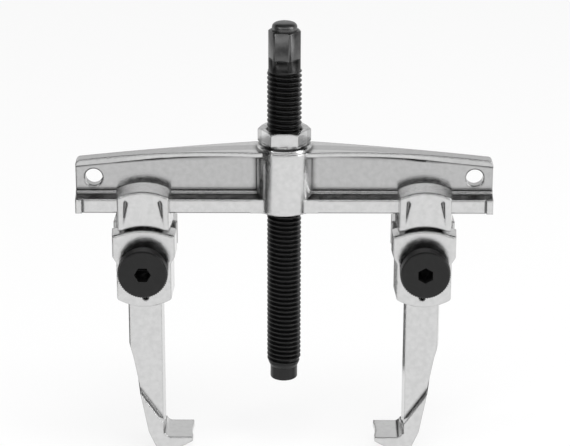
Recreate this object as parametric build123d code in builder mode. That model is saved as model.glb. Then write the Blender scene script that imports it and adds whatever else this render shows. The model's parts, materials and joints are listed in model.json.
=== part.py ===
from build123d import *
import os
from math import cos, radians, sqrt, tan

# Two-arm puller with sliding reversible legs, in millimetres.
# X runs along the crossbeam, -Y is the side the clamp knobs stand on, +Z is up.
# The origin is on the spindle axis, level with the underside of the crossbeam's rail.

os.makedirs("parts", exist_ok=True)

# ---- Fits ----
thread_gap = 0.05  # spindle thread in the hub, radial
pivot_gap = 0.06  # clamp screw in its bores, radial
slide_gap = 0.3  # slider around the rail
cheek_gap = 0.15  # slider tongue between the leg's cheeks, each side
press_gap = 0.02  # pressed pins and rings, radial
swing_gap = 1.2  # slider's lower arch to the leg's top
pocket_gap = 0.4  # round end of the slider's tongue in the leg's pocket

# ---- Crossbeam: rail, web and arched top flange ----
beam_length = 172.0
beam_height = 26.2
beam_arch_radius = 720.0
beam_corner = 2.0
web_thickness = 5.0
rail_width = 16.0
rail_height = 6.0
rail_lip = 0.9
rail_chamfer = 0.4
shoulder_width = 8.0
shoulder_rise = 1.3
step_rise = 1.1
step_slope = 0.3
step_fillet = 0.45
flange_thickness = 1.8
flange_hub_width = 15.4
flange_mid_width = 8.9
flange_end_width = 6.0
flange_mid_place = 38.0
flange_fillet = 1.6
lug_width = 2.6
lug_proud = 0.7
lug_groove_width = 0.8
lug_groove_depth = 0.3
storage_hole_diameter = 7.2
storage_hole_inset = 7.4
storage_hole_height = 13.7
storage_hole_chamfer = 0.5

# ---- Crossbeam: hub, collar and hexagon ----
hub_diameter = 23.6
hub_web_fillet = 4.4
hub_rail_fillet = 3.0
hub_land = 14.0
collar_diameter = 23.0
collar_height = 2.0
collar_edge = 1.3
hub_step_diameter = 19.6
hub_step_height = 1.0
hub_hex_flats = 19.0
hub_hex_height = 5.6
hub_hex_chamfer = 0.7
bore_chamfer = 1.0

# ---- Spindle ----
thread_diameter = 14.2
thread_depth = 1.22
spindle_top = 79.5
spindle_nose_diameter = 10.4
spindle_nose_height = 3.3
spindle_nose_round = 0.7
spindle_hex_flats = 12.0
spindle_hex_corners = 13.3
spindle_hex_height = 11.8
spindle_hex_chamfer = 0.4
spindle_hex_turn = -10.4
spindle_neck_diameter = 13.2
spindle_neck_length = 4.6
thread_end = -71.2
thread_chamfer_length = 3.2
thread_chamfer_depth = 1.3

# ---- Swivel tip in the end of the spindle ----
tip_diameter = 11.4
tip_length = 5.5
tip_edge = 0.6
tip_bearing_gap = 0.1
stem_diameter = 7.0
stem_length = 7.0
ring_wire = 1.0
ring_place = 3.6
ball_diameter = 5.0
ball_seat_depth = 0.5

# ---- Leg assembly ----
leg_inset = 28.0
screw_height = -21.6
slider_depth = 26.0
slider_half_width = 11.85
slider_top = 12.2
slider_arch = 24.0
slider_under = 4.3
slider_under_arch = 22.0
slider_side_bottom = -6.0
slider_draft = 6.0
slider_edge = 0.6
flute_radius = 0.9
flute_low_radius = 0.2
flute_place = 7.0
flute_low_place = 8.2
flute_height = 6.2
flute_sunk = 0.4
flute_low_height = -3.0
tongue_thickness = 8.0
tongue_half_width = 8.9

head_depth = 28.0
head_half_width = 12.0
head_arch = 28.0
head_arch_half_width = 9.3
head_draft = 3.0
ear_half_width = 13.6
ear_top = -8.3
ear_bottom = -17.5
ear_end = -20.2
head_corner = 2.0
head_bottom = -40.1
head_bottom_arch = 22.0
head_edge = 0.7
slot_open_height = -19.0

arm_thickness = 11.0
arm_inner = 7.5
arm_outer = 7.6
arm_outer_low = 6.3
arm_draft = 9.0
arm_kink_top = -61.7
arm_kink_low = -66.8
grip_height = -101.8
foot_thickness = 17.5
foot_draft = 5.0
foot_outer = 0.3
foot_outer_height = -99.5
foot_heel = -5.0
foot_corner = 3.0
foot_bottom = -111.5
foot_inner_rise = 0.5
ledge_top = -78.2
ledge_low = -95.1
hook_tip = 19.9
hook_tip_thickness = 2.2
hook_root_fillet = 2.6
hook_end_hollow = 1.2

# ---- Clamp screw, washer and roll pin ----
screw_diameter = 10.0
screw_end_chamfer = 1.0
knob_diameter = 20.8
knob_face = 23.0
knob_rim = 5.6
knob_chamfer = 0.6
knob_neck_diameter = 15.0
washer_diameter = 17.0
washer_thickness = 1.2
washer_seat_gap = 0.02
key_flats = 6.0
key_depth = 5.5
key_turn_right = 30.0
key_turn_left = 0.0
roll_pin_diameter = 2.5
roll_pin_wall = 0.45
roll_pin_slot = 0.6
roll_pin_length = 9.0
roll_pin_drop = 13.4
roll_pin_shift = 0.6
roll_pin_proud = 0.3


def export(name, part):
    """Label one finished piece and write it as its own node."""
    part.label = name
    export_step(part, f"parts/{name}.step")
    print(f"{name:26s} {len(part.solids())} solid  {part.volume / 1000:8.3f} cm3")


def circle_sag(radius, half_chord):
    """How far an arc falls from its crown at a given half chord."""
    return radius - sqrt(radius**2 - half_chord**2)


def rail_section(web_top):
    """The rail with its sloping shoulders and the foot of the web, across the beam."""
    half_rail = rail_width / 2
    half_web = web_thickness / 2
    half_step = shoulder_width / 2
    step_foot = rail_height + shoulder_rise
    step_top = step_foot + step_rise
    web_foot = step_top + step_slope
    with BuildSketch() as section:
        with BuildLine():
            Polyline(
                (0, 0),
                (half_rail, 0),
                (half_rail, rail_height),
                (half_step, step_foot),
                (half_step, step_top),
                (half_web, web_foot),
                (half_web, web_top),
                (0, web_top),
                close=True,
            )
        make_face()
        for corner in ((half_step, step_foot), (half_step, step_top), (half_web, web_foot)):
            fillet(section.vertices().sort_by_distance(corner)[0], step_fillet)
        fillet(section.vertices().sort_by_distance((half_rail, rail_height))[0], rail_lip)
        chamfer(section.vertices().sort_by_distance((half_rail, 0))[0], rail_chamfer)
        mirror(about=Plane.YZ)
    return section.sketch


def arched_band(top, thickness):
    """A band under the beam's arched top edge, as seen from the front."""
    half = beam_length / 2
    end_top = top - circle_sag(beam_arch_radius, half)
    under = end_top - thickness
    with BuildSketch() as band:
        with BuildLine():
            ThreePointArc((-half, end_top), (0, top), (half, end_top))
            Line((half, end_top), (half, under))
            ThreePointArc((half, under), (0, top - thickness), (-half, under))
            Line((-half, under), (-half, end_top))
        make_face()
    return band.sketch


def turned_hexagon(across_flats, corner_radius, base, height, chamfer_drop, turn=0.0):
    """A hexagon bar whose corners are broken by a turned blank with a 30 degree chamfer."""
    with BuildPart() as hexagon:
        with BuildSketch(Plane.XY.offset(base)):
            RegularPolygon(
                radius=across_flats / 2,
                side_count=6,
                major_radius=False,
                rotation=turn,
            )
        extrude(amount=height)
        with BuildSketch(Plane.XZ):
            with BuildLine():
                Polyline(
                    (0, base),
                    (corner_radius, base),
                    (corner_radius, base + height - chamfer_drop),
                    (corner_radius - chamfer_drop / tan(radians(30)), base + height),
                    (0, base + height),
                    close=True,
                )
            make_face()
        revolve(axis=Axis.Z, mode=Mode.INTERSECT)
    return hexagon.part


# ================= Crossbeam =================
hub_radius = hub_diameter / 2
collar_top = beam_height + collar_height
hub_hex_base = collar_top + hub_step_height
hub_hex_top = hub_hex_base + hub_hex_height
hub_hex_corner = hub_hex_flats / 2 / cos(radians(30))
bore_radius = thread_diameter / 2 + thread_gap

with BuildPart() as flange:
    with BuildSketch(Plane.XY):
        with BuildLine():
            start = (0, flange_hub_width / 2)
            neck = (hub_radius, flange_hub_width / 2)
            middle = (flange_mid_place, flange_mid_width / 2)
            end = (beam_length / 2, flange_end_width / 2)
            Line(start, neck)
            ThreePointArc(neck, middle, end)
            Line(end, (beam_length / 2, 0))
            Line((beam_length / 2, 0), (0, 0))
            Line((0, 0), start)
        make_face()
        mirror(about=Plane.YZ)
        mirror(about=Plane.XZ)
    extrude(amount=beam_height)
    with BuildSketch(Plane.XZ):
        add(arched_band(beam_height, flange_thickness))
    extrude(amount=hub_diameter, both=True, mode=Mode.INTERSECT)

with BuildPart() as crossbeam:
    # Rail and web, trimmed to the arched side view.
    with BuildSketch(Plane.YZ.offset(-beam_length / 2)):
        add(rail_section(beam_height))
    extrude(amount=beam_length)
    with BuildSketch(Plane.XZ):
        add(arched_band(beam_height, beam_height * 2))
    extrude(amount=rail_width, both=True, mode=Mode.INTERSECT)
    add(flange.part)

    # Fillet where the flange's underside runs into the web.
    half_web = web_thickness / 2
    flange_underside = beam_height - flange_thickness - circle_sag(beam_arch_radius, beam_length / 4)
    roots = crossbeam.edges().filter_by(
        lambda e: e.length > beam_length / 2
        and abs(abs(e.center().Y) - half_web) < 0.1
        and abs(e.center().Z - flange_underside) < flange_thickness
    )
    fillet(roots, flange_fillet)

    # Top corners at the two ends.
    end_tops = crossbeam.edges().filter_by(
        lambda e: abs(e.center().X) > beam_length / 2 - 0.01
        and e.center().Z > storage_hole_height
        and abs(e.center().Y) < 0.01
    ).sort_by(Axis.Z)
    fillet(end_tops[-2:], beam_corner)

    # End stops: short lugs standing proud of the rail's faces.
    groove_spacing = beam_length - 2 * lug_width - lug_groove_width
    with GridLocations(beam_length - lug_width, rail_width, 2, 2):
        Box(lug_width, 2 * lug_proud, rail_height, align=(Align.CENTER, Align.CENTER, Align.MIN))
    with GridLocations(groove_spacing, rail_width, 2, 2):
        Box(lug_groove_width, 2 * lug_groove_depth, 2 * rail_height, mode=Mode.SUBTRACT)

    # Hub, blended into the web over its height and into the rail below.
    with BuildSketch(Plane.XY):
        Circle(hub_radius)
        Rectangle(4 * hub_radius, web_thickness)
        fillet(vertices().filter_by(lambda v: abs(v.X) < hub_radius), hub_web_fillet)
    extrude(amount=beam_height - flange_thickness)
    with BuildSketch(Plane.XY):
        Circle(hub_radius)
        Rectangle(2 * hub_land, rail_width)
        fillet(vertices().filter_by(lambda v: abs(v.X) < hub_radius), hub_rail_fillet)
    extrude(amount=rail_height)
    with BuildSketch(Plane.XY.offset(rail_height)):
        Circle(hub_radius)
    extrude(amount=beam_height - rail_height)

    # Round collar and hexagon on top of the hub.
    with BuildSketch(Plane.XY.offset(beam_height)):
        Circle(collar_diameter / 2)
    extrude(amount=collar_height)
    fillet(crossbeam.faces().sort_by(Axis.Z)[-1].edges(), collar_edge)
    with BuildSketch(Plane.XY.offset(collar_top)):
        Circle(hub_step_diameter / 2)
    extrude(amount=hub_step_height)
    add(turned_hexagon(hub_hex_flats, hub_hex_corner, hub_hex_base, hub_hex_height, hub_hex_chamfer))

    # Threaded bore, drawn at the thread's outside.
    with BuildSketch(Plane.XY):
        Circle(bore_radius)
    extrude(amount=hub_hex_top, mode=Mode.SUBTRACT)
    mouths = crossbeam.edges().filter_by(GeomType.CIRCLE).filter_by(
        lambda e: abs(e.radius - bore_radius) < 0.01
    )
    chamfer(mouths, bore_chamfer)

    # Storage holes through the web.
    with BuildSketch(Plane.XZ):
        with Locations((0, storage_hole_height)):
            with GridLocations(beam_length - 2 * storage_hole_inset, 1, 2, 1):
                Circle(storage_hole_diameter / 2)
    extrude(amount=rail_width, both=True, mode=Mode.SUBTRACT)
    hole_edges = crossbeam.edges().filter_by(GeomType.CIRCLE).filter_by(
        lambda e: abs(e.radius - storage_hole_diameter / 2) < 0.01
    )
    chamfer(hole_edges, storage_hole_chamfer)
export("crossbeam", crossbeam.part)

# ================= Spindle =================
hex_top = spindle_top - spindle_nose_height
hex_base = hex_top - spindle_hex_height
thread_top = hex_base - spindle_neck_length
stem_bore_radius = stem_diameter / 2 + pivot_gap
stem_top = thread_end + stem_length
ball_pocket_top = stem_top + ball_diameter - ball_seat_depth + tip_bearing_gap

with BuildPart() as spindle:
    with BuildSketch(Plane.XZ):
        with BuildLine():
            Polyline(
                (0, thread_end),
                (thread_diameter / 2 - thread_chamfer_depth, thread_end),
                (thread_diameter / 2, thread_end + thread_chamfer_length),
                (thread_diameter / 2, thread_top - thread_depth),
                (spindle_neck_diameter / 2, thread_top),
                (spindle_neck_diameter / 2, hex_base),
                (spindle_nose_diameter / 2, hex_base),
                (spindle_nose_diameter / 2, spindle_top),
                (0, spindle_top),
                close=True,
            )
        make_face()
    revolve(axis=Axis.Z)
    add(
        turned_hexagon(
            spindle_hex_flats,
            spindle_hex_corners / 2,
            hex_base,
            spindle_hex_height,
            spindle_hex_chamfer,
            spindle_hex_turn,
        )
    )
    fillet(spindle.faces().sort_by(Axis.Z)[-1].edges(), spindle_nose_round)
    # Blind bore for the swivel tip's stem, its ball and its snap ring.
    with BuildSketch(Plane.XY.offset(thread_end)):
        Circle(stem_bore_radius)
    extrude(amount=ball_pocket_top - thread_end, mode=Mode.SUBTRACT)
    with BuildSketch(Plane.XY.offset(thread_end + ring_place - ring_wire / 2)):
        Circle(stem_bore_radius + ring_wire / 2 + press_gap)
    extrude(amount=ring_wire, mode=Mode.SUBTRACT)
export("spindle", spindle.part)

# ================= Swivel tip =================
tip_top = thread_end - tip_bearing_gap
tip_bottom = tip_top - tip_length
groove_radius = stem_diameter / 2 - ring_wire / 2

with BuildPart() as pressure_tip:
    with BuildSketch(Plane.XY.offset(tip_bottom)):
        Circle(tip_diameter / 2)
    extrude(amount=tip_length)
    fillet(pressure_tip.faces().sort_by(Axis.Z)[0].edges(), tip_edge)
    with BuildSketch(Plane.XY.offset(tip_top)):
        Circle(stem_diameter / 2)
    extrude(amount=stem_top - tip_top)
    with BuildSketch(Plane.XY.offset(thread_end + ring_place - ring_wire / 2 - press_gap)):
        Circle(stem_diameter / 2)
        Circle(groove_radius, mode=Mode.SUBTRACT)
    extrude(amount=ring_wire + 2 * press_gap, mode=Mode.SUBTRACT)
    with Locations((0, 0, stem_top - ball_seat_depth + ball_diameter / 2)):
        Sphere(ball_diameter / 2 + press_gap, mode=Mode.SUBTRACT)
export("pressure_tip", pressure_tip.part)

with BuildPart() as thrust_ball:
    with Locations((0, 0, stem_top - ball_seat_depth + ball_diameter / 2)):
        Sphere(ball_diameter / 2)
export("thrust_ball", thrust_ball.part)

# Open snap ring, half in the stem's groove and half in the spindle's.
with BuildPart() as snap_ring:
    with BuildSketch(Plane.XY.offset(thread_end + ring_place - ring_wire / 2 + press_gap)):
        Circle(stem_bore_radius + ring_wire / 2)
        Circle(groove_radius + press_gap, mode=Mode.SUBTRACT)
        with Locations((0, stem_bore_radius)):
            Rectangle(ring_wire, 2 * ring_wire, mode=Mode.SUBTRACT)
    extrude(amount=ring_wire - 2 * press_gap)
export("tip_snap_ring", snap_ring.part)

# ================= Slider (drawn for the right side) =================
leg_place = beam_length / 2 - leg_inset
leg_view = Plane(origin=(leg_place, 0, 0), x_dir=(1, 0, 0), z_dir=(0, -1, 0))
screw_bore_radius = screw_diameter / 2 + pivot_gap
slot_half_width = tongue_half_width + pocket_gap
slider_shoulder = slider_top - circle_sag(slider_arch, slider_half_width)
slider_draft_fall = slider_depth / 2 * tan(radians(slider_draft))

with BuildPart() as slider:
    # Forged block with draft away from the parting line in the middle.
    with BuildSketch(leg_view):
        with BuildLine():
            ThreePointArc(
                (-slider_half_width, slider_shoulder),
                (0, slider_top),
                (slider_half_width, slider_shoulder),
            )
            Polyline(
                (slider_half_width, slider_shoulder),
                (slider_half_width, slider_side_bottom - slider_draft_fall),
                (-slider_half_width, slider_side_bottom - slider_draft_fall),
                (-slider_half_width, slider_shoulder),
            )
        make_face()
    extrude(amount=slider_depth / 2, taper=slider_draft)
    mirror(about=Plane.XZ)
    # Arched underside that lets the leg swing.
    with BuildSketch(leg_view):
        with Locations((0, -slider_under - slider_under_arch)):
            Circle(slider_under_arch)
        with Locations((0, slider_side_bottom)):
            Rectangle(4 * slider_half_width, slider_under_arch, align=(Align.CENTER, Align.MAX))
    extrude(amount=slider_depth, both=True, mode=Mode.SUBTRACT)
    front_and_back = slider.faces().sort_by(Axis.Y)
    fillet(front_and_back[0].edges() + front_and_back[-1].edges(), slider_edge)
    # Tapering flutes down both faces, on each side of a plain panel.
    for side in (-1, 1):
        for face in (-1, 1):
            flute_depth = face * (slider_depth / 2 - flute_sunk)
            flute_top = Vector(leg_place + side * flute_place, flute_depth, flute_height)
            flute_run = Vector(side * (flute_low_place - flute_place), 0, flute_low_height - flute_height)
            with Locations(Plane(origin=flute_top, z_dir=flute_run)):
                Sphere(flute_radius, mode=Mode.SUBTRACT)
                Cone(
                    flute_radius,
                    flute_low_radius,
                    flute_run.length,
                    align=(Align.CENTER, Align.CENTER, Align.MIN),
                    mode=Mode.SUBTRACT,
                )
    # Tongue that hangs between the leg's cheeks.
    with BuildSketch(leg_view):
        with Locations((0, screw_height)):
            Circle(tongue_half_width)
            Rectangle(2 * tongue_half_width, -screw_height, align=(Align.CENTER, Align.MIN))
    extrude(amount=tongue_thickness / 2, both=True)
    # Channel around the rail, its shoulders and the web.
    with BuildSketch(Plane.YZ.offset(leg_place - 2 * slider_half_width)):
        add(rail_section(beam_height))
        offset(amount=slide_gap)
    extrude(amount=4 * slider_half_width, mode=Mode.SUBTRACT)
    # Bore for the clamp screw.
    with BuildSketch(leg_view):
        with Locations((0, screw_height)):
            Circle(screw_bore_radius)
    extrude(amount=slider_depth, both=True, mode=Mode.SUBTRACT)

# ================= Leg (drawn for the right side, hook towards the spindle) =================
head_top = -slider_under - swing_gap
head_shoulder = head_top - circle_sag(head_arch, head_arch_half_width)
head_bottom_corner = head_bottom + circle_sag(head_bottom_arch, head_half_width)

with BuildPart() as head:
    # Clevis head: barrel outline with an ear on each side, drafted from its parting line.
    with BuildSketch(leg_view):
        with BuildLine():
            Polyline(
                (-ear_half_width, ear_bottom),
                (-ear_half_width, head_top + swing_gap),
                (ear_half_width, head_top + swing_gap),
                (ear_half_width, ear_bottom),
                (head_half_width, ear_end),
                (head_half_width, head_bottom_corner),
            )
            ThreePointArc(
                (head_half_width, head_bottom_corner),
                (0, head_bottom),
                (-head_half_width, head_bottom_corner),
            )
            Polyline(
                (-head_half_width, head_bottom_corner),
                (-head_half_width, ear_end),
                (-ear_half_width, ear_bottom),
            )
        make_face()
        fillet(vertices().group_by(Axis.Y)[0], head_corner)
    extrude(amount=head_depth / 2, taper=head_draft)
    mirror(about=Plane.XZ)
    # Machined top: an arc in the middle that runs out straight over the ears.
    with BuildSketch(leg_view):
        with BuildLine():
            ThreePointArc(
                (-head_arch_half_width, head_shoulder), (0, head_top), (head_arch_half_width, head_shoulder)
            )
            Polyline(
                (head_arch_half_width, head_shoulder),
                (ear_half_width, ear_top),
                (ear_half_width, head_bottom),
                (-ear_half_width, head_bottom),
                (-ear_half_width, ear_top),
                (-head_arch_half_width, head_shoulder),
            )
        make_face()
    extrude(amount=head_depth, both=True, mode=Mode.INTERSECT)
    front_and_back = head.faces().sort_by(Axis.Y)
    fillet(front_and_back[0].edges() + front_and_back[-1].edges(), head_edge)

with BuildPart() as arm:
    # Arm: straight inner edge, outer edge kinked and slanting in towards the foot.
    with BuildSketch(leg_view):
        with BuildLine():
            Polyline(
                (-arm_inner, screw_height - tongue_half_width),
                (arm_outer, screw_height - tongue_half_width),
                (arm_outer, arm_kink_top),
                (arm_outer_low, arm_kink_low),
                (foot_outer, foot_outer_height),
                (-arm_inner, grip_height),
                (-arm_inner, screw_height - tongue_half_width),
            )
        make_face()
    extrude(amount=arm_thickness / 2, taper=arm_draft)
    mirror(about=Plane.XZ)

with BuildPart() as foot:
    # Foot and hook, wider than the arm below a slanting ledge.
    with BuildSketch(leg_view):
        slant = (arm_outer_low - foot_outer) / (arm_kink_low - foot_outer_height)
        ledge_outer = arm_outer_low + slant * (ledge_top - arm_kink_low)
        with BuildLine():
            Polyline(
                (-hook_tip, grip_height + hook_root_fillet),
                (-hook_tip, grip_height - hook_tip_thickness),
                (-arm_inner, foot_bottom + foot_inner_rise),
                (foot_heel, foot_bottom),
                (foot_outer, foot_outer_height),
                (ledge_outer, ledge_top),
                (-arm_inner, ledge_low),
                (-arm_inner, grip_height + hook_root_fillet),
                (-hook_tip, grip_height + hook_root_fillet),
            )
        make_face()
        lower_outer = vertices().sort_by_distance((foot_heel, foot_bottom))[0]
        fillet(lower_outer, foot_corner)
    extrude(amount=foot_thickness / 2, taper=foot_draft)
    mirror(about=Plane.XZ)
    # Gripping face and its root are machined, the hook's end is hollowed in plan.
    with BuildSketch(leg_view):
        with Locations((-arm_inner, grip_height)):
            Rectangle(2 * hook_tip, 2 * hook_root_fillet, align=(Align.MAX, Align.MIN))
        fillet(vertices().sort_by_distance((-arm_inner, grip_height))[0], hook_root_fillet)
    extrude(amount=foot_thickness, both=True, mode=Mode.SUBTRACT)
    hollow_radius = ((foot_thickness / 2) ** 2 + hook_end_hollow**2) / (2 * hook_end_hollow)
    with BuildSketch(Plane.XY.offset(foot_bottom)):
        with Locations((leg_place - hook_tip - hollow_radius + hook_end_hollow, 0)):
            Circle(hollow_radius)
    extrude(amount=grip_height - foot_bottom, mode=Mode.SUBTRACT)

with BuildPart() as leg:
    add(head.part)
    add(arm.part)
    add(foot.part)
    # Slot for the slider's tongue: open through the ears, then a round-bottomed pocket.
    with BuildSketch(leg_view):
        with Locations((0, slot_open_height)):
            Rectangle(4 * ear_half_width, -slot_open_height, align=(Align.CENTER, Align.MIN))
        with Locations((0, screw_height)):
            Circle(slot_half_width)
            Rectangle(2 * slot_half_width, -screw_height, align=(Align.CENTER, Align.MIN))
    extrude(amount=tongue_thickness / 2 + cheek_gap, both=True, mode=Mode.SUBTRACT)
    # Bore through both cheeks for the clamp screw.
    with BuildSketch(leg_view):
        with Locations((0, screw_height)):
            Circle(screw_bore_radius)
    extrude(amount=head_depth, both=True, mode=Mode.SUBTRACT)
    # Blind hole for the roll pin under the knob.
    with BuildSketch(leg_view.offset(head_depth / 2 - roll_pin_length + roll_pin_proud)):
        with Locations((-roll_pin_shift, screw_height - roll_pin_drop)):
            Circle(roll_pin_diameter / 2 + press_gap)
    extrude(amount=roll_pin_length, mode=Mode.SUBTRACT)

# ================= Clamp screw with its knurled knob, washer and roll pin =================
screw_view = Plane(origin=(leg_place, 0, screw_height), x_dir=(1, 0, 0), z_dir=(0, -1, 0))
washer_seat = head_depth / 2 + washer_seat_gap
neck_seat = washer_seat + washer_thickness + washer_seat_gap
rim_seat = knob_face - knob_rim


def clamp_screw(socket_turn):
    """A clamp screw with its knob; the hexagon socket stands at the given turn."""
    with BuildPart() as screw:
        with BuildSketch(screw_view.offset(-head_depth / 2)):
            Circle(screw_diameter / 2)
        extrude(amount=neck_seat + head_depth / 2)
        chamfer(screw.faces().sort_by(Axis.Y)[-1].edges(), screw_end_chamfer)
        with BuildSketch(screw_view.offset(neck_seat)):
            Circle(knob_neck_diameter / 2)
        extrude(amount=rim_seat - neck_seat)
        with BuildSketch(screw_view.offset(rim_seat)):
            Circle(knob_diameter / 2)
        extrude(amount=knob_rim)
        rims = screw.edges().filter_by(GeomType.CIRCLE).filter_by(
            lambda e: abs(e.radius - knob_diameter / 2) < 0.01
        )
        chamfer(rims, knob_chamfer)
        with BuildSketch(screw_view.offset(knob_face - key_depth)):
            RegularPolygon(radius=key_flats / 2, side_count=6, major_radius=False, rotation=socket_turn)
        extrude(amount=key_depth, mode=Mode.SUBTRACT)
    return screw.part


with BuildPart() as clamp_washer:
    with BuildSketch(screw_view.offset(washer_seat)):
        Circle(washer_diameter / 2)
        Circle(screw_bore_radius, mode=Mode.SUBTRACT)
    extrude(amount=washer_thickness)

with BuildPart() as roll_pin:
    with BuildSketch(leg_view.offset(head_depth / 2 - roll_pin_length + roll_pin_proud + press_gap)):
        with Locations((-roll_pin_shift, screw_height - roll_pin_drop)):
            Circle(roll_pin_diameter / 2)
            Circle(roll_pin_diameter / 2 - roll_pin_wall, mode=Mode.SUBTRACT)
        with Locations((-roll_pin_shift, screw_height - roll_pin_drop - roll_pin_diameter / 2)):
            Rectangle(roll_pin_slot, roll_pin_diameter, mode=Mode.SUBTRACT)
    extrude(amount=roll_pin_length)

# ================= The right-hand pieces and their mirror images on the left =================
leg_pieces = {
    "slider": (slider.part, slider.part),
    "leg": (leg.part, leg.part),
    "clamp_screw": (clamp_screw(key_turn_right), clamp_screw(key_turn_left)),
    "clamp_washer": (clamp_washer.part, clamp_washer.part),
    "roll_pin": (roll_pin.part, roll_pin.part),
}
for name, (right_piece, left_piece) in leg_pieces.items():
    export(f"{name}_right", right_piece)
    export(f"{name}_left", mirror(left_piece, about=Plane.YZ))
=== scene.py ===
# %% [markdown]
# # A gear puller, finished in Blender
# The steel parts of this puller come from a CAD model: a forged crossbeam, a threaded spindle, and two hooked
# legs on sliding blocks. Their sizes are fixed there. Here they get what a drawing leaves out: the cut
# thread, the knurled knobs, and the surfaces of forged, plated and blackened steel.

import json
from math import cos, pi, radians, sin, sqrt

import bmesh
import bpy
from mathutils import Matrix, Vector


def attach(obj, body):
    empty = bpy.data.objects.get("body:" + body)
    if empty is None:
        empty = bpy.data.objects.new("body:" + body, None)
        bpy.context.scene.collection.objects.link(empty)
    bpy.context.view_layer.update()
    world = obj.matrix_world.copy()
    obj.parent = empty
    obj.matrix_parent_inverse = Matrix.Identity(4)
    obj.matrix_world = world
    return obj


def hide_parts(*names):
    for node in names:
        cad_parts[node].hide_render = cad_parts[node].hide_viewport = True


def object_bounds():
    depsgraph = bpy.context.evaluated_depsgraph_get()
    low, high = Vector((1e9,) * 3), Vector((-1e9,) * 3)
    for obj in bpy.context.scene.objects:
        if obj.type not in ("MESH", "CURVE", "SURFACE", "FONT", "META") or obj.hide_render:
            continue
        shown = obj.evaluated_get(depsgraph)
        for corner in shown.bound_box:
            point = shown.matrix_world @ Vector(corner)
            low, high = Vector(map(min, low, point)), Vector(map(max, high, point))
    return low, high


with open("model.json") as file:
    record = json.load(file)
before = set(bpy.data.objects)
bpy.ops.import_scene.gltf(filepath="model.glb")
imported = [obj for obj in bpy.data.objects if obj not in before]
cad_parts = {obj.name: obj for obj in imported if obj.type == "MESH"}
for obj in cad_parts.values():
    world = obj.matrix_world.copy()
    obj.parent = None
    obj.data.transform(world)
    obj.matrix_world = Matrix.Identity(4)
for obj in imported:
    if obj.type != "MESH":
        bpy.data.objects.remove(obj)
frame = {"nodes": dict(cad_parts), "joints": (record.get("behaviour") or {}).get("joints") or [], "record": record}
nodes = frame["nodes"]
MM = 0.001

# %% The size of the CAD model, whose lowest point also places the floor
cad_low, cad_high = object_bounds()
print("CAD box in mm:", [round(v / MM, 1) for v in cad_high - cad_low])

# %% [markdown]
# ## Camera
# A long lens from about a metre away, a little above the beam, keeps the arms nearly parallel. A camera could
# be set by its place and three turns, but then each small correction upsets the others. This one is placed by
# its distance and its height angle from a point near the spindle's axis, and then turned to look at it.

# %% Place the camera
LOOK_AT = Vector((0.35, 0, -7.2)) * MM
CAMERA_DISTANCE = 972.6 * MM
CAMERA_ELEVATION = radians(20.64)
CAMERA_ROLL = radians(0.14)
LENS = 147.5
CLIP_NEAR = 0.05
CLIP_FAR = 20

camera_data = bpy.data.cameras.new("studio_camera")
camera_data.lens = LENS
camera_data.clip_start = CLIP_NEAR
camera_data.clip_end = CLIP_FAR
camera = bpy.data.objects.new("studio_camera", camera_data)
bpy.context.scene.collection.objects.link(camera)
towards_camera = Vector((0, -cos(CAMERA_ELEVATION), sin(CAMERA_ELEVATION)))
camera.location = LOOK_AT + towards_camera * CAMERA_DISTANCE
aim = (-towards_camera).to_track_quat("-Z", "Y").to_matrix()
camera.rotation_euler = (aim @ Matrix.Rotation(CAMERA_ROLL, 3, "Z")).to_euler()
bpy.context.scene.camera = camera
bpy.context.scene.view_settings.view_transform = "Standard"
print("camera stands", round(camera.location.z, 3), "m above the beam's rail")

# %% [markdown]
# ## Studio
# Bright plating has hardly a colour of its own: it shows what stands around it. So the studio is built first.
# The floor and the wall behind the puller are white, and a bright band runs over the camera. The rest of the
# ceiling and the camera's own side are dark, which draws the dark lines along the rounded top edges. Dark
# flags do the same for the edges that face left, and soft boxes light the edges on the right. The floor still
# takes the puller's shadow.

# %% Helpers for small node trees
def add_node(tree, kind, **values):
    """Adds a node and sets its properties, or its inputs where the name is an input's."""
    node = tree.nodes.new(kind)
    for name, value in values.items():
        if hasattr(node, name):
            setattr(node, name, value)
        else:
            node.inputs[name.replace("_", " ")].default_value = value
    return node


def link(tree, source, target):
    """Joins an output to an input; each is written as (node, socket)."""
    tree.links.new(source[0].outputs[source[1]], target[0].inputs[target[1]])


def grey(tone):
    """A neutral colour."""
    return tone, tone, tone, 1


def set_stops(ramp, stops):
    """Gives a colour ramp its stops; each is a place from 0 to 1 and a grey tone."""
    while len(ramp.elements) < len(stops):
        ramp.elements.new(0.5)
    for stop, (place, tone) in zip(ramp.elements, stops):
        stop.position = place
        stop.color = grey(tone)


# %% The surround: white to the camera, walls and a dark ceiling in reflections
WORLD_LIGHT = 0.55
DARK_FRONT, BRIGHT_BAND, DARK_CEILING, BACK_WALL = 0.03, 1.9, 0.02, 0.8
WALLS = [
    (0, DARK_FRONT), (24, DARK_FRONT), (28, BRIGHT_BAND), (42, BRIGHT_BAND),
    (50, DARK_CEILING), (136, DARK_CEILING), (144, BACK_WALL), (180, BACK_WALL),
]

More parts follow.
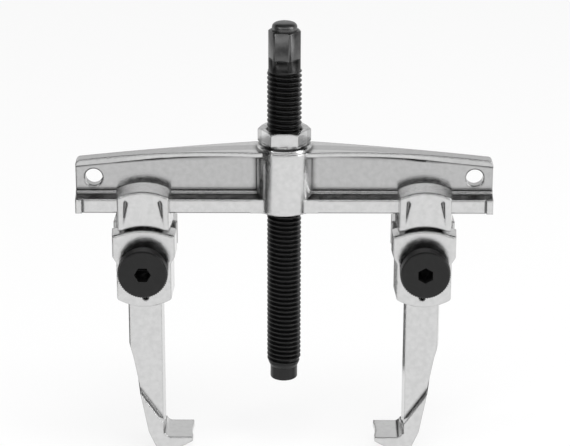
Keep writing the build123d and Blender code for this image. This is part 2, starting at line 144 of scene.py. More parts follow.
world = bpy.data.worlds.new("studio_surround")
world.use_nodes = True
bpy.context.scene.world = world
tree = world.node_tree
tree.nodes.clear()
path = add_node(tree, "ShaderNodeLightPath")
seen = add_node(tree, "ShaderNodeMath", operation="MAXIMUM")
way = add_node(tree, "ShaderNodeTexCoord")
parts = add_node(tree, "ShaderNodeSeparateXYZ")
to_front = add_node(tree, "ShaderNodeMath", operation="MULTIPLY")
to_front.inputs[1].default_value = -1.0
angle = add_node(tree, "ShaderNodeMath", operation="ARCTAN2")
half_turn = add_node(tree, "ShaderNodeMapRange", From_Max=pi)
walls = add_node(tree, "ShaderNodeValToRGB")
set_stops(walls.color_ramp, [(degrees_up / 180, bright) for degrees_up, bright in WALLS])
reflected = add_node(tree, "ShaderNodeMix", data_type="RGBA")
reflected.inputs[6].default_value = grey(WORLD_LIGHT)
strength = add_node(tree, "ShaderNodeMix", data_type="RGBA")
strength.inputs[7].default_value = grey(1)
surround = add_node(tree, "ShaderNodeBackground", Strength=1.0)
world_out = add_node(tree, "ShaderNodeOutputWorld")
link(tree, (way, "Generated"), (parts, "Vector"))
link(tree, (parts, "Y"), (to_front, 0))
link(tree, (parts, "Z"), (angle, 0))
link(tree, (to_front, 0), (angle, 1))
link(tree, (angle, 0), (half_turn, "Value"))
link(tree, (half_turn, "Result"), (walls, "Fac"))
link(tree, (path, "Is Glossy Ray"), (reflected, 0))
link(tree, (walls, "Color"), (reflected, 7))
link(tree, (path, "Is Camera Ray"), (seen, 0))
link(tree, (path, "Is Transmission Ray"), (seen, 1))
link(tree, (seen, 0), (strength, 0))
link(tree, (reflected, 2), (strength, 6))
link(tree, (strength, 2), (surround, "Color"))
link(tree, (surround, "Background"), (world_out, "Surface"))
print("walls, in degrees from the front horizon over the top:", [w[0] for w in WALLS])

# %% The floor under the feet
FLOOR_RADIUS = 4.0
FLOOR_SIDES = 64
FLOOR_GAP = 0.2 * MM
FLOOR_WHITE = 0.86
FLOOR_GLOW_SHARE = 0.8

floor_mesh = bpy.data.meshes.new("floor")
floor_z = cad_low.z - FLOOR_GAP
around = [2 * pi * i / FLOOR_SIDES for i in range(FLOOR_SIDES)]
rim = [(FLOOR_RADIUS * cos(a), FLOOR_RADIUS * sin(a), floor_z) for a in around]
floor_mesh.from_pydata(rim, [], [tuple(range(FLOOR_SIDES))])
floor = bpy.data.objects.new("floor", floor_mesh)
bpy.context.scene.collection.objects.link(floor)

floor_material = bpy.data.materials.new("white_floor")
floor_material.use_nodes = True
tree = floor_material.node_tree
tree.nodes.clear()
path = add_node(tree, "ShaderNodeLightPath")
seen = add_node(tree, "ShaderNodeMath", operation="MAXIMUM")
share = add_node(tree, "ShaderNodeMath", operation="MULTIPLY")
share.inputs[1].default_value = FLOOR_GLOW_SHARE
paint = add_node(tree, "ShaderNodeBsdfDiffuse", Color=grey(FLOOR_WHITE))
glow = add_node(tree, "ShaderNodeEmission", Color=grey(1), Strength=1.0)
mixed = add_node(tree, "ShaderNodeMixShader")
floor_out = add_node(tree, "ShaderNodeOutputMaterial")
link(tree, (path, "Is Camera Ray"), (seen, 0))
link(tree, (path, "Is Glossy Ray"), (seen, 1))
link(tree, (seen, 0), (share, 0))
link(tree, (share, 0), (mixed, "Fac"))
link(tree, (paint, "BSDF"), (mixed, 1))
link(tree, (glow, "Emission"), (mixed, 2))
link(tree, (mixed, "Shader"), (floor_out, "Surface"))
floor.data.materials.append(floor_material)
print("floor at", round(floor_z / MM, 1), "mm")

# %% Soft boxes and cards round the puller
def direction(azimuth, elevation):
    """The way from the puller: azimuth 0 is towards the camera's side and 90 is to the right."""
    a, e = radians(azimuth), radians(elevation)
    return Vector((sin(a) * cos(e), -cos(a) * cos(e), sin(e)))


def soft_box(name, azimuth, elevation, distance, width, height, power):
    """A rectangular lamp that faces the middle of the puller."""
    lamp = bpy.data.lights.new(name, "AREA")
    lamp.shape = "RECTANGLE"
    lamp.size = width
    lamp.size_y = height
    lamp.energy = power
    box = bpy.data.objects.new(name, lamp)
    bpy.context.scene.collection.objects.link(box)
    away = direction(azimuth, elevation)
    box.location = away * distance
    box.rotation_euler = away.to_track_quat("Z", "Y").to_euler()
    return box


SOFT_EDGE = 0.2


def card_between(name, low, high, shade):
    """An upright card between two corners that only reflections see: it casts no shadow. Towards its two
    upright edges it fades into the shade of the back wall."""
    (x0, y0, z0), (x1, y1, z1) = low, high
    card_mesh = bpy.data.meshes.new(name)
    corners = [(x0, y0, z0), (x1, y1, z0), (x1, y1, z1), (x0, y0, z1)]
    card_mesh.from_pydata(corners, [], [(0, 1, 2, 3)])
    card = bpy.data.objects.new(name, card_mesh)
    bpy.context.scene.collection.objects.link(card)
    card.visible_camera = False
    card.visible_diffuse = False
    card.visible_shadow = False
    cloth = bpy.data.materials.new(name)
    cloth.use_nodes = True
    cloth.node_tree.nodes.clear()
    place = add_node(cloth.node_tree, "ShaderNodeTexCoord")
    parts = add_node(cloth.node_tree, "ShaderNodeSeparateXYZ")
    fade = add_node(cloth.node_tree, "ShaderNodeValToRGB")
    stops = [(0, BACK_WALL), (SOFT_EDGE, shade), (1 - SOFT_EDGE, shade), (1, BACK_WALL)]
    set_stops(fade.color_ramp, stops)
    dim = add_node(cloth.node_tree, "ShaderNodeEmission", Strength=1.0)
    link(cloth.node_tree, (place, "Generated"), (parts, "Vector"))
    link(cloth.node_tree, (parts, "Y"), (fade, "Fac"))
    link(cloth.node_tree, (fade, "Color"), (dim, "Color"))
    out = add_node(cloth.node_tree, "ShaderNodeOutputMaterial")
    link(cloth.node_tree, (dim, "Emission"), (out, "Surface"))
    card.data.materials.append(cloth)


soft_box("right_box", azimuth=70, elevation=24, distance=1.1, width=0.5, height=0.9, power=4)
soft_box("left_box", azimuth=-57, elevation=30, distance=1.3, width=0.18, height=0.6, power=2)
top_box = soft_box("top_box", azimuth=15, elevation=66, distance=1.3, width=0.9, height=0.7, power=12)
top_box.visible_glossy = False
card_between("left_flag", low=(-0.28, -0.24, floor_z), high=(-0.28, 0.06, 0.22), shade=0.03)
card_between("left_panel", low=(-0.28, 0.09, floor_z), high=(-0.28, 0.26, 0.06), shade=1.2)
card_between("left_leg_flag", low=(-0.070, 0.060, floor_z), high=(-0.148, 0.138, -0.003), shade=0.02)
card_between("right_leg_flag", low=(0.0134, 0.070, floor_z), high=(0.0355, 0.0921, -0.003), shade=0.02)
print("studio:", len(bpy.data.lights), "lamps and four cards")

# %% [markdown]
# ## Surface effects that several finishes share
# Forging leaves a soft, uneven skin. Handling rubs the edges bright. The inner corners get painted shade,
# which darkens their colour. Such marks could be painted on a picture for each part, but worked out from the
# shape they fit every part at any size. So three small node groups are built once. Each gives numbers or a
# direction only, and each material uses them in its own way.

# %% Forged skin: soft dents and a fine grain
def new_group(name, inputs, outputs):
    """A shader node group with the given inputs and outputs, and its two end nodes."""
    group = bpy.data.node_groups.new(name, "ShaderNodeTree")
    for label, kind, value in inputs:
        socket = group.interface.new_socket(label, in_out="INPUT", socket_type=kind)
        if value is not None:
            socket.default_value = value
    for label, kind in outputs:
        group.interface.new_socket(label, in_out="OUTPUT", socket_type=kind)
    start = group.nodes.new("NodeGroupInput")
    end = group.nodes.new("NodeGroupOutput")
    return group, start, end


forged_skin, start, end = new_group(
    "forged_skin",
    [
        ("Vector", "NodeSocketVector", None),
        ("Dent scale", "NodeSocketFloat", 220.0),
        ("Grain scale", "NodeSocketFloat", 1500.0),
        ("Grain share", "NodeSocketFloat", 0.35),
    ],
    [("Height", "NodeSocketFloat"), ("Mottle", "NodeSocketFloat")],
)
dents = add_node(forged_skin, "ShaderNodeTexNoise", Detail=3.0, Roughness=0.55)
grain = add_node(forged_skin, "ShaderNodeTexNoise", Detail=2.0, Roughness=0.6)
height = add_node(forged_skin, "ShaderNodeMix", data_type="FLOAT")
mottle = add_node(forged_skin, "ShaderNodeMapRange", From_Min=0.35, From_Max=0.65)
link(forged_skin, (start, "Vector"), (dents, "Vector"))
link(forged_skin, (start, "Vector"), (grain, "Vector"))
link(forged_skin, (start, "Dent scale"), (dents, "Scale"))
link(forged_skin, (start, "Grain scale"), (grain, "Scale"))
link(forged_skin, (start, "Grain share"), (height, 0))
link(forged_skin, (dents, "Fac"), (height, 2))
link(forged_skin, (grain, "Fac"), (height, 3))
link(forged_skin, (height, 0), (end, "Height"))
link(forged_skin, (dents, "Fac"), (mottle, "Value"))
link(forged_skin, (mottle, "Result"), (end, "Mottle"))

# %% Rubbed edges: where a rounded copy of the surface turns away from the flat one
edge_rub, start, end = new_group(
    "edge_rub",
    [("Radius", "NodeSocketFloat", 0.4 * MM), ("Gain", "NodeSocketFloat", 6.0)],
    [("Rounded normal", "NodeSocketVector"), ("Edge", "NodeSocketFloat")],
)
rounded = add_node(edge_rub, "ShaderNodeBevel", samples=6)
flat_normal = add_node(edge_rub, "ShaderNodeNewGeometry")
agree = add_node(edge_rub, "ShaderNodeVectorMath", operation="DOT_PRODUCT")
turned_away = add_node(edge_rub, "ShaderNodeMath", operation="SUBTRACT")
turned_away.inputs[0].default_value = 1.0
amount = add_node(edge_rub, "ShaderNodeMath", operation="MULTIPLY", use_clamp=True)
link(edge_rub, (start, "Radius"), (rounded, "Radius"))
link(edge_rub, (rounded, "Normal"), (agree, 0))
link(edge_rub, (flat_normal, "Normal"), (agree, 1))
link(edge_rub, (agree, "Value"), (turned_away, 1))
link(edge_rub, (turned_away, 0), (amount, 0))
link(edge_rub, (start, "Gain"), (amount, 1))
link(edge_rub, (amount, 0), (end, "Edge"))
link(edge_rub, (rounded, "Normal"), (end, "Rounded normal"))

# %% Painted corner shade: how far a point is closed in by its own piece, which darkens the colour there
painted_corner_shade, start, end = new_group(
    "painted_corner_shade",
    [
        ("Reach", "NodeSocketFloat", 2 * MM),
        ("Closed", "NodeSocketFloat", 0.6),
        ("Open", "NodeSocketFloat", 0.9),
        ("Darkest", "NodeSocketFloat", 0.4),
    ],
    [("Tone", "NodeSocketFloat")],
)
# Painted shade: ambient occlusion from the piece itself darkens the colour in its inner corners.
sky = add_node(painted_corner_shade, "ShaderNodeAmbientOcclusion", samples=12, only_local=True)
tone = add_node(painted_corner_shade, "ShaderNodeMapRange", interpolation_type="SMOOTHSTEP")
link(painted_corner_shade, (start, "Reach"), (sky, "Distance"))
link(painted_corner_shade, (sky, "AO"), (tone, "Value"))
link(painted_corner_shade, (start, "Closed"), (tone, "From Min"))
link(painted_corner_shade, (start, "Open"), (tone, "From Max"))
link(painted_corner_shade, (start, "Darkest"), (tone, "To Min"))
link(painted_corner_shade, (tone, "Result"), (end, "Tone"))
print("node groups:", [g.name for g in bpy.data.node_groups])

# %% [markdown]
# ## Finishes
# The forgings are blasted, polished a little and plated with satin chrome. The spindle and the knobs are
# blackened in a salt bath, which leaves a thin dark skin with a dull shine. One flat grey would pass for
# paint, so each finish mixes two tones and takes its edges, its painted shade in the inner corners and its
# relief from the groups. A single function makes them all, because they differ only in their numbers.

# %% A finish made of the shared effects
def steel_finish(name, tones, roughness, metallic, edge_tone, skin, relief_depth, edge_radius, shine=0.5):
    """A steel surface: two tones that mottle into each other, rubbed edges and a skin in relief.
    tones is (dark, light), roughness is (lowest, highest) and skin is (dent scale, grain scale, grain share).
    """
    finish = bpy.data.materials.new(name)
    finish.use_nodes = True
    tree = finish.node_tree
    tree.nodes.clear()
    place = add_node(tree, "ShaderNodeTexCoord")
    surface = add_node(tree, "ShaderNodeGroup", node_tree=forged_skin)
    surface.inputs["Dent scale"].default_value = skin[0]
    surface.inputs["Grain scale"].default_value = skin[1]
    surface.inputs["Grain share"].default_value = skin[2]
    edges = add_node(tree, "ShaderNodeGroup", node_tree=edge_rub)
    edges.inputs["Radius"].default_value = edge_radius
    mottled = add_node(tree, "ShaderNodeMix", data_type="RGBA")
    mottled.inputs[6].default_value = grey(tones[0])
    mottled.inputs[7].default_value = grey(tones[1])
    rubbed = add_node(tree, "ShaderNodeMix", data_type="RGBA")
    rubbed.inputs[7].default_value = grey(edge_tone)
    # Painted shade: the corner group darkens the colour in the inner corners.
    corners = add_node(tree, "ShaderNodeGroup", node_tree=painted_corner_shade)
    corner_shaded = add_node(tree, "ShaderNodeVectorMath", operation="SCALE")
    dull = add_node(tree, "ShaderNodeMapRange", To_Min=roughness[0], To_Max=roughness[1])
    relief = add_node(tree, "ShaderNodeBump", Strength=1.0, Distance=relief_depth)
    shader = add_node(tree, "ShaderNodeBsdfPrincipled", Metallic=metallic)
    shader.inputs["Specular IOR Level"].default_value = shine
    out = add_node(tree, "ShaderNodeOutputMaterial")
    link(tree, (place, "Object"), (surface, "Vector"))
    link(tree, (surface, "Mottle"), (mottled, 0))
    link(tree, (mottled, 2), (rubbed, 6))
    link(tree, (edges, "Edge"), (rubbed, 0))
    link(tree, (rubbed, 2), (corner_shaded, 0))
    link(tree, (corners, "Tone"), (corner_shaded, "Scale"))
    link(tree, (corner_shaded, 0), (shader, "Base Color"))
    link(tree, (surface, "Mottle"), (dull, "Value"))
    link(tree, (dull, "Result"), (shader, "Roughness"))
    link(tree, (surface, "Height"), (relief, "Height"))
    link(tree, (edges, "Rounded normal"), (relief, "Normal"))
    link(tree, (relief, "Normal"), (shader, "Normal"))
    link(tree, (shader, "BSDF"), (out, "Surface"))
    return finish


satin_chrome = steel_finish(
    "satin_chrome", tones=(0.60, 0.66), roughness=(0.14, 0.22), metallic=1.0, edge_tone=0.62,
    skin=(420.0, 2300.0, 0.6), relief_depth=0.04 * MM, edge_radius=1.2 * MM,
)
black_oxide = steel_finish(
    "black_oxide", tones=(0.003, 0.006), roughness=(0.28, 0.38), metallic=0.0, edge_tone=0.02,
    skin=(300.0, 2500.0, 0.5), relief_depth=0.01 * MM, edge_radius=0.3 * MM, shine=0.36,
)
rubbed_oxide = steel_finish(
    "rubbed_oxide", tones=(0.105, 0.13), roughness=(0.30, 0.38), metallic=0.9, edge_tone=0.2,
    skin=(500.0, 2500.0, 0.5), relief_depth=0.01 * MM, edge_radius=0.3 * MM,
)
bright_steel = steel_finish(
    "bright_steel", tones=(0.5, 0.6), roughness=(0.2, 0.3), metallic=1.0, edge_tone=0.7,
    skin=(300.0, 2500.0, 0.3), relief_depth=0.01 * MM, edge_radius=0.3 * MM,
)
FINISHES = {"satin_chrome": satin_chrome, "black_oxide": black_oxide, "bright_steel": bright_steel}
print("finishes:", sorted(FINISHES), "and the rubbed oxide on the spindle's hexagon")

# %% [markdown]
# ## The beam's web
# The web between the crossbeam's flanges is darker than the flanges, and hardly any light gets under
# its top flange. A material for the web alone would need its faces picked out one by one. Instead the beam
# has a copy of the chrome that darkens near the middle plane, and gets painted shade where the surface faces the
# floor.

# %% A copy of the chrome that is darker on the web, with painted shade under the flange
WEB_FADE = 1.25
LEAN_FULL, LEAN_START = -0.6, -0.08
# Painted shade in the beam's inner corners: reach, openness and darkest share.
CORNER_SHADE_REACH = 3 * MM
CORNER_SHADE_OPEN = 0.95
CORNER_SHADE_DARKEST = 0.3


def darken_web_paint_shade_below(finish, half_width, tone, under):
    """Darkens a beam finish near the middle plane, where only the web's faces are, and paints shade where the
    surface leans over to face the floor, as it does under the flange. tone and under are the two darkest shares."""
    tree = finish.node_tree
    shader = next(n for n in tree.nodes if n.type == "BSDF_PRINCIPLED")
    colour = shader.inputs["Base Color"].links[0].from_socket
    place = add_node(tree, "ShaderNodeTexCoord")
    parts = add_node(tree, "ShaderNodeSeparateXYZ")
    away = add_node(tree, "ShaderNodeMath", operation="ABSOLUTE")
    share = add_node(tree, "ShaderNodeMapRange", To_Min=tone, To_Max=1.0)
    share.inputs["From Min"].default_value = half_width
    share.inputs["From Max"].default_value = half_width * WEB_FADE
    toned = add_node(tree, "ShaderNodeVectorMath", operation="SCALE")
    facing = add_node(tree, "ShaderNodeNewGeometry")
    lean = add_node(tree, "ShaderNodeSeparateXYZ")
    # Painted shade: surfaces that lean over to face the floor, as under the flange, are darkened down to the share
    # under.
    floorward_shade = add_node(tree, "ShaderNodeMapRange", To_Min=under, To_Max=1.0)
    floorward_shade.inputs["From Min"].default_value = LEAN_FULL
    floorward_shade.inputs["From Max"].default_value = LEAN_START
    both = add_node(tree, "ShaderNodeMath", operation="MULTIPLY")
    link(tree, (facing, "Normal"), (lean, "Vector"))
    link(tree, (lean, "Z"), (floorward_shade, "Value"))
    link(tree, (share, "Result"), (both, 0))
    link(tree, (floorward_shade, "Result"), (both, 1))
    link(tree, (place, "Object"), (parts, "Vector"))
    link(tree, (parts, "Y"), (away, 0))
    link(tree, (away, 0), (share, "Value"))
    tree.links.new(colour, toned.inputs[0])
    link(tree, (both, 0), (toned, "Scale"))
    tree.links.new(toned.outputs[0], shader.inputs["Base Color"])
    # Painted shade: the beam's inner corners are shaded wider and darker than on the other parts.
    corners = next(n for n in tree.nodes if n.type == "GROUP" and n.node_tree == painted_corner_shade)
    corners.inputs["Reach"].default_value = CORNER_SHADE_REACH
    corners.inputs["Open"].default_value = CORNER_SHADE_OPEN
    corners.inputs["Darkest"].default_value = CORNER_SHADE_DARKEST


beam_chrome = satin_chrome.copy()
beam_chrome.name = "beam_chrome"
darken_web_paint_shade_below(beam_chrome, half_width=2.6 * MM, tone=0.76, under=0.1)
print("beam finish:", len(beam_chrome.node_tree.nodes), "nodes")

# %% [markdown]
# ## Finishes on the parts
# The record of the CAD model says which finish each part has. So a loop can hand them out, and only the
# crossbeam is then given its own.

# %% Put the finishes on the CAD parts
for part in frame["record"]["subparts"]:
    node = nodes[part["node"]]
    node.data.materials.clear()
    node.data.materials.append(FINISHES[part["material_slot"]])
nodes["crossbeam"].data.materials[0] = beam_chrome
print("finished", len(nodes), "nodes")

# %% [markdown]
# ## What is cut into the steel
# In the CAD model the spindle's thread is a plain cylinder as wide as the thread's crests, and the knobs have
# plain rims. The grooves could be cut out of them with booleans, which are slow and leave ragged meshes.
# Instead a copy of each part is turned down to the bottom of its cuts. Geometry Nodes then put the crests
# back: one long ridge wound round the spindle, and a ring of teeth round each knob.

# %% Helpers: measure, turn a copy down, run a tree, and join the results
SAME_POINT = 1e-7
SHARP_ANGLE = radians(28)


def measured(length):
    """A length from a mesh, rounded to a micrometre, because a mesh keeps only about seven digits."""
    return round(length, 6)


def copy_of(node):
    """The CAD node's mesh as a new mesh whose doubled vertices are merged."""
    mesh = nodes[node].data.copy()
    shape = bmesh.new()
    shape.from_mesh(mesh)
    bmesh.ops.remove_doubles(shape, verts=shape.verts, dist=SAME_POINT)
    shape.to_mesh(mesh)
    shape.free()
    return mesh


def cut_off_above(mesh, height):
    """Takes away every vertex of the mesh that is higher than the given height."""
    shape = bmesh.new()
    shape.from_mesh(mesh)
    high = [v for v in shape.verts if v.co.z > height]
    bmesh.ops.delete(shape, geom=high, context="VERTS")
    shape.to_mesh(mesh)
    shape.free()


def made_by(tree, inputs):
    """The mesh that a Geometry Nodes tree makes with the given inputs."""
    carrier_mesh = bpy.data.meshes.new("carrier")
    carrier = bpy.data.objects.new("carrier", carrier_mesh)
    bpy.context.scene.collection.objects.link(carrier)
    modifier = carrier.modifiers.new("made", "NODES")
    modifier.node_group = tree
    for item in tree.interface.items_tree:
        if item.item_type == "SOCKET" and item.in_out == "INPUT" and item.name in inputs:
            modifier[item.identifier] = inputs[item.name]
    graph = bpy.context.evaluated_depsgraph_get()
    made = bpy.data.meshes.new_from_object(carrier.evaluated_get(graph), depsgraph=graph)
    carrier.modifiers.remove(modifier)
    bpy.data.objects.remove(carrier)
    bpy.data.meshes.remove(carrier_mesh)
    return made


def joined(name, base, additions, body, node):
    """One mesh of the turned-down copy and what is added to it, which stands for the CAD node."""
    shape = bmesh.new()
    shape.from_mesh(base)
    for added in additions:
        shape.from_mesh(added)
    whole = bpy.data.meshes.new(name)
    shape.to_mesh(whole)
    shape.free()
    for finish in base.materials:
        whole.materials.append(finish)
    whole.shade_smooth()
    whole.set_sharp_from_angle(angle=SHARP_ANGLE)
    piece = bpy.data.objects.new(name, whole)
    bpy.context.scene.collection.objects.link(piece)
    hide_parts(node)
    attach(piece, body)
    return piece


def new_geometry(name, inputs):
    """A Geometry Nodes tree with named size inputs and one geometry output, and its two end nodes."""
    tree = bpy.data.node_groups.new(name, "GeometryNodeTree")
    tree.interface.new_socket("Geometry", in_out="INPUT", socket_type="NodeSocketGeometry")
    for label, kind in inputs:
        tree.interface.new_socket(label, in_out="INPUT", socket_type=kind)
    tree.interface.new_socket("Geometry", in_out="OUTPUT", socket_type="NodeSocketGeometry")
    return tree, tree.nodes.new("NodeGroupInput"), tree.nodes.new("NodeGroupOutput")


# %% [markdown]
# ### The spindle's thread
# A cut thread is one groove that runs round and along the bar. A bump in the material would show it too, but
# the outline would stay straight. So the ridge between the grooves is swept along a helix. Its sizes are the
# tree's inputs, and it shrinks to nothing at both ends, as a thread runs out.

# %% The thread: a ridge with sloping flanks, wound on a helix
FLOAT = "NodeSocketFloat"
POINTS_PER_TURN = 56
thread_tree, start, end = new_geometry(
    "wound_thread",
    [("Root radius", FLOAT), ("Ridge height", FLOAT), ("Ridge foot", FLOAT), ("Ridge crest", FLOAT),
     ("Turns", FLOAT), ("Length", FLOAT), ("Tip share", FLOAT), ("Run-out share", FLOAT)],
)
helix = add_node(thread_tree, "GeometryNodeCurveSpiral", Resolution=POINTS_PER_TURN)
level = add_node(thread_tree, "GeometryNodeSetCurveNormal")
level.mode = "Z_UP"
along = add_node(thread_tree, "GeometryNodeSplineParameter")
tip_fade = add_node(thread_tree, "ShaderNodeMapRange")
top_fade = add_node(thread_tree, "ShaderNodeMapRange", From_Max=1.0, To_Min=1.0, To_Max=0.0)
top_start = add_node(thread_tree, "ShaderNodeMath", operation="SUBTRACT")
top_start.inputs[0].default_value = 1.0
fade = add_node(thread_tree, "ShaderNodeMath", operation="MULTIPLY")
sized = add_node(thread_tree, "GeometryNodeSetCurveRadius")
ridge = add_node(thread_tree, "GeometryNodeCurvePrimitiveQuadrilateral", mode="TRAPEZOID", Offset=0.0)
half = add_node(thread_tree, "ShaderNodeMath", operation="MULTIPLY")
half.inputs[1].default_value = 0.5
stand = add_node(thread_tree, "ShaderNodeCombineXYZ")
placed = add_node(thread_tree, "GeometryNodeTransform")
turned = add_node(thread_tree, "GeometryNodeTransform", Rotation=(0, 0, pi / 2))
swept = add_node(thread_tree, "GeometryNodeCurveToMesh")
real = add_node(thread_tree, "GeometryNodeRealizeInstances")
black = add_node(thread_tree, "GeometryNodeSetMaterial", Material=black_oxide)
for label in ("Start Radius", "End Radius"):
    link(thread_tree, (start, "Root radius"), (helix, label))
link(thread_tree, (start, "Turns"), (helix, "Rotations"))
link(thread_tree, (start, "Length"), (helix, "Height"))
link(thread_tree, (helix, "Curve"), (level, "Curve"))
link(thread_tree, (along, "Factor"), (tip_fade, "Value"))
link(thread_tree, (start, "Tip share"), (tip_fade, "From Max"))
link(thread_tree, (along, "Factor"), (top_fade, "Value"))
link(thread_tree, (start, "Run-out share"), (top_start, 1))
link(thread_tree, (top_start, 0), (top_fade, "From Min"))
link(thread_tree, (tip_fade, "Result"), (fade, 0))
link(thread_tree, (top_fade, "Result"), (fade, 1))
link(thread_tree, (level, "Curve"), (sized, "Curve"))
link(thread_tree, (fade, 0), (sized, "Radius"))
link(thread_tree, (start, "Ridge foot"), (ridge, "Bottom Width"))
link(thread_tree, (start, "Ridge crest"), (ridge, "Top Width"))
link(thread_tree, (start, "Ridge height"), (ridge, "Height"))
link(thread_tree, (start, "Ridge height"), (half, 0))
link(thread_tree, (half, 0), (stand, "Y"))
link(thread_tree, (ridge, "Curve"), (placed, "Geometry"))
link(thread_tree, (stand, "Vector"), (placed, "Translation"))
link(thread_tree, (placed, "Geometry"), (turned, "Geometry"))
link(thread_tree, (sized, "Curve"), (swept, "Curve"))
link(thread_tree, (turned, "Geometry"), (swept, "Profile Curve"))
link(thread_tree, (fade, 0), (swept, "Scale"))
link(thread_tree, (swept, "Mesh"), (real, "Geometry"))
link(thread_tree, (real, "Geometry"), (black, "Geometry"))
link(thread_tree, (black, "Geometry"), (end, "Geometry"))
print("thread tree:", len(thread_tree.nodes), "nodes")

# %% Measure the spindle
THREAD_DEPTH = 1.22 * MM
PITCH = 2.0 * MM
THREAD_START = 0.2 * MM
BARE_NECK = 3.8 * MM
HEX_HEIGHT = 11.8 * MM
NOSE_HEIGHT = 3.3 * MM
NOSE_COLLAR = 0.4 * MM
SLACK = 0.05 * MM


def from_axis(place):
    """How far a place is from the spindle's axis."""
    return sqrt(place.x**2 + place.y**2)


places = [vertex.co for vertex in nodes["spindle"].data.vertices]
thread_radius = measured(max(from_axis(place) for place in places))
root_radius = thread_radius - THREAD_DEPTH
nose_top = measured(max(place.z for place in places))
nose_foot = nose_top - NOSE_HEIGHT
nose_radius = measured(max(from_axis(place) for place in places if place.z > nose_foot + SLACK))
hex_base = nose_foot - HEX_HEIGHT
thread_high = hex_base - BARE_NECK
thread_low = measured(min(place.z for place in places)) + THREAD_START
thread_length = thread_high - thread_low
print("thread from", round(thread_low / MM, 2), "to", round(thread_high / MM, 2), "mm")
print("thread", round(2 * thread_radius / MM, 2), "mm and nose", round(2 * nose_radius / MM, 2), "mm across")

# %% Wind the thread
RIDGE_FOOT = 1.75 * MM
RIDGE_CREST = 0.3 * MM
RIDGE_SUNK = 0.02 * MM
TIP_FADE = 3.2 * MM
RUN_OUT = 1.6 * MM

thread_mesh = made_by(thread_tree, {
    "Root radius": root_radius - RIDGE_SUNK,
    "Ridge height": THREAD_DEPTH,
    "Ridge foot": RIDGE_FOOT,
    "Ridge crest": RIDGE_CREST,
    "Turns": thread_length / PITCH,
    "Length": thread_length,
    "Tip share": TIP_FADE / thread_length,
    "Run-out share": RUN_OUT / thread_length,
})
thread_mesh.transform(Matrix.Translation((0, 0, thread_low)))
radii = [from_axis(vertex.co) for vertex in thread_mesh.vertices]
print("ridge from", round(min(radii) / MM, 2), "to", round(max(radii) / MM, 2), "mm")
print("ridge:", len(thread_mesh.polygons), "faces")

# %% [markdown]
# ### The spindle's nose
# Over its hexagon the spindle ends in a short round nose, where the CAD model has a cylinder with a rounded
# edge. One such shape needs no tree: half of its outline is worked out by a formula and spun round the axis,
# as on a lathe.

# %% Turn the nose
DOME_STEPS = 12
DOME_FULLNESS = 0.58


def turned_dome(name, radius, foot, shoulder, top, steps):
    """A round nose: a short cylinder from foot to shoulder, closed by a dome. The dome is a superellipse,
    which is fuller than a ball's cap."""
    profile = [(radius, foot)]
    for i in range(DOME_STEPS + 1):
        rise = radians(90) * i / DOME_STEPS
        out, up = max(0.0, cos(rise)) ** DOME_FULLNESS, sin(rise) ** DOME_FULLNESS
        profile.append((radius * out, shoulder + (top - shoulder) * up))
    shape = bmesh.new()
    line = [shape.verts.new((r, 0, z)) for r, z in profile]
    edges = [shape.edges.new(pair) for pair in zip(line, line[1:])]
    bmesh.ops.spin(shape, geom=line + edges, axis=(0, 0, 1), angle=2 * pi, steps=steps)
    bmesh.ops.remove_doubles(shape, verts=shape.verts, dist=SAME_POINT)
    bmesh.ops.recalc_face_normals(shape, faces=shape.faces)
    dome = bpy.data.meshes.new(name)
    shape.to_mesh(dome)
    shape.free()
    return dome


NOSE_SIDES = 48
nose_shoulder = nose_foot + NOSE_COLLAR
nose_mesh = turned_dome("nose", nose_radius, nose_foot, nose_shoulder, nose_top, NOSE_SIDES)
for face in nose_mesh.polygons:
    face.material_index = 1
print("nose:", len(nose_mesh.polygons), "faces")

# %% Turn the spindle down and put its ridge and nose on
spindle_mesh = copy_of("spindle")
for vertex in spindle_mesh.vertices:
    radius = from_axis(vertex.co)
    if radius > thread_radius - SLACK and vertex.co.z < thread_high:
        vertex.co.x *= root_radius / radius
        vertex.co.y *= root_radius / radius
cut_off_above(spindle_mesh, nose_foot + SLACK)
spindle_mesh.materials.clear()
spindle_mesh.materials.append(black_oxide)
spindle_mesh.materials.append(rubbed_oxide)
for face in spindle_mesh.polygons:
    face.material_index = 1 if face.center.z > hex_base - SLACK else 0
spindle = joined("threaded_spindle", spindle_mesh, [thread_mesh, nose_mesh], "spindle", "spindle")
print("spindle:", len(spindle.data.polygons), "faces")

# %% [markdown]
# ### The knurled knobs
# The clamp screws are tightened by hand, so the rim of each knob has fine straight teeth. One tooth could be
# copied round a circle. A star that is drawn once and swept along a short bar makes them all together, and
# where the bar's ends are drawn in, every tooth gets its bevels.

# %% The knurl: a star-shaped bar whose two ends are drawn in
BEVEL_SHARE = 0.12
RIM_POINTS = 41
knurl_tree, start, end = new_geometry(
    "knurled_rim",
    [("Teeth", "NodeSocketInt"), ("Outer radius", FLOAT), ("Tooth depth", FLOAT), ("Width", FLOAT),
     ("Bevel", FLOAT)],
)
bar = add_node(knurl_tree, "GeometryNodeCurvePrimitiveLine")
bar_end = add_node(knurl_tree, "ShaderNodeCombineXYZ")
fine = add_node(knurl_tree, "GeometryNodeResampleCurve", Count=RIM_POINTS)
spot = add_node(knurl_tree, "GeometryNodeSplineParameter")
back_bevel = add_node(knurl_tree, "ShaderNodeMapRange", From_Max=BEVEL_SHARE)
front_bevel = add_node(knurl_tree, "ShaderNodeMapRange", From_Min=1 - BEVEL_SHARE, To_Min=1.0, To_Max=0.0)
both = add_node(knurl_tree, "ShaderNodeMath", operation="MINIMUM")
drawn_in = add_node(knurl_tree, "ShaderNodeMath", operation="DIVIDE")
lowest = add_node(knurl_tree, "ShaderNodeMath", operation="SUBTRACT")
lowest.inputs[0].default_value = 1.0
width_share = add_node(knurl_tree, "ShaderNodeMapRange")
shaped = add_node(knurl_tree, "GeometryNodeSetCurveRadius")
star = add_node(knurl_tree, "GeometryNodeCurveStar")
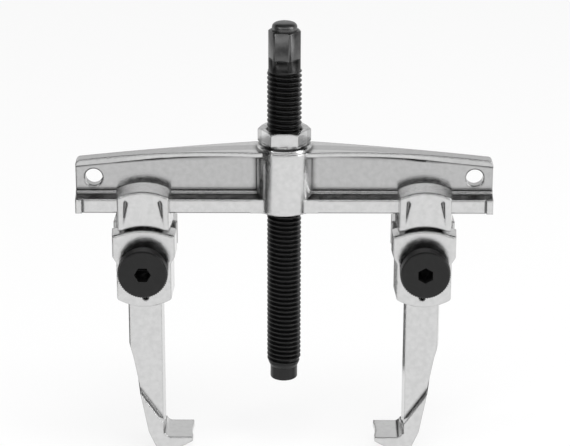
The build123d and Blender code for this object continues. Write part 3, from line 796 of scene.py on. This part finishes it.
inner = add_node(knurl_tree, "ShaderNodeMath", operation="SUBTRACT")
rim_band = add_node(knurl_tree, "GeometryNodeCurveToMesh")
real = add_node(knurl_tree, "GeometryNodeRealizeInstances")
black = add_node(knurl_tree, "GeometryNodeSetMaterial", Material=black_oxide)
link(knurl_tree, (start, "Width"), (bar_end, "Z"))
link(knurl_tree, (bar_end, "Vector"), (bar, "End"))
link(knurl_tree, (bar, "Curve"), (fine, "Curve"))
link(knurl_tree, (spot, "Factor"), (back_bevel, "Value"))
link(knurl_tree, (spot, "Factor"), (front_bevel, "Value"))
link(knurl_tree, (back_bevel, "Result"), (both, 0))
link(knurl_tree, (front_bevel, "Result"), (both, 1))
link(knurl_tree, (start, "Bevel"), (drawn_in, 0))
link(knurl_tree, (start, "Outer radius"), (drawn_in, 1))
link(knurl_tree, (drawn_in, 0), (lowest, 1))
link(knurl_tree, (both, 0), (width_share, "Value"))
link(knurl_tree, (lowest, 0), (width_share, "To Min"))
link(knurl_tree, (fine, "Curve"), (shaped, "Curve"))
link(knurl_tree, (width_share, "Result"), (shaped, "Radius"))
link(knurl_tree, (width_share, "Result"), (rim_band, "Scale"))
link(knurl_tree, (start, "Teeth"), (star, "Points"))
link(knurl_tree, (start, "Outer radius"), (inner, 0))
link(knurl_tree, (start, "Tooth depth"), (inner, 1))
link(knurl_tree, (inner, 0), (star, "Inner Radius"))
link(knurl_tree, (start, "Outer radius"), (star, "Outer Radius"))
link(knurl_tree, (shaped, "Curve"), (rim_band, "Curve"))
link(knurl_tree, (star, "Curve"), (rim_band, "Profile Curve"))
link(knurl_tree, (rim_band, "Mesh"), (real, "Geometry"))
link(knurl_tree, (real, "Geometry"), (black, "Geometry"))
link(knurl_tree, (black, "Geometry"), (end, "Geometry"))
print("knurl tree:", len(knurl_tree.nodes), "nodes")

# %% Knurl both knobs
KNOB_BEVEL = 0.6 * MM
TOOTH_DEPTH = 0.42 * MM
TEETH = 64
RIM_BAND = 0.1 * MM

hinges = {joint["child"]: joint for joint in frame["joints"] if joint["type"] == "hinge"}
for screw in ("clamp_screw_left", "clamp_screw_right"):
    centre = Vector(hinges[screw]["pos_m"])
    knob_mesh = copy_of(screw)
    spokes = [(v, Vector((v.co.x - centre.x, v.co.z - centre.z))) for v in knob_mesh.vertices]
    knob_radius = measured(max(out.length for vertex, out in spokes))
    rim = [(vertex, out) for vertex, out in spokes if out.length > knob_radius - RIM_BAND]
    rim_back = measured(max(vertex.co.y for vertex, out in rim)) + KNOB_BEVEL
    rim_front = measured(min(vertex.co.y for vertex, out in rim)) - KNOB_BEVEL
    for vertex, out in rim:
        turned_down = (knob_radius - TOOTH_DEPTH - SLACK) / out.length
        vertex.co.x = centre.x + out.x * turned_down
        vertex.co.z = centre.z + out.y * turned_down
    knob_mesh.materials.clear()
    knob_mesh.materials.append(black_oxide)
    band = made_by(knurl_tree, {
        "Teeth": TEETH,
        "Outer radius": knob_radius,
        "Tooth depth": TOOTH_DEPTH,
        "Width": rim_back - rim_front,
        "Bevel": KNOB_BEVEL,
    })
    foot = Matrix.Translation((centre.x, rim_back, centre.z))
    band.transform(foot @ Matrix.Rotation(radians(90), 4, "X"))
    knob = joined(f"knurled_{screw}", knob_mesh, [band], screw, screw)
    depths = [v.co.y for v in band.vertices]
    print(screw, "knob:", len(knob.data.polygons), "faces", round(2 * knob_radius / MM, 2), "mm across")
    print("rim from", round(min(depths) / MM, 1), "to", round(max(depths) / MM, 1), "mm")
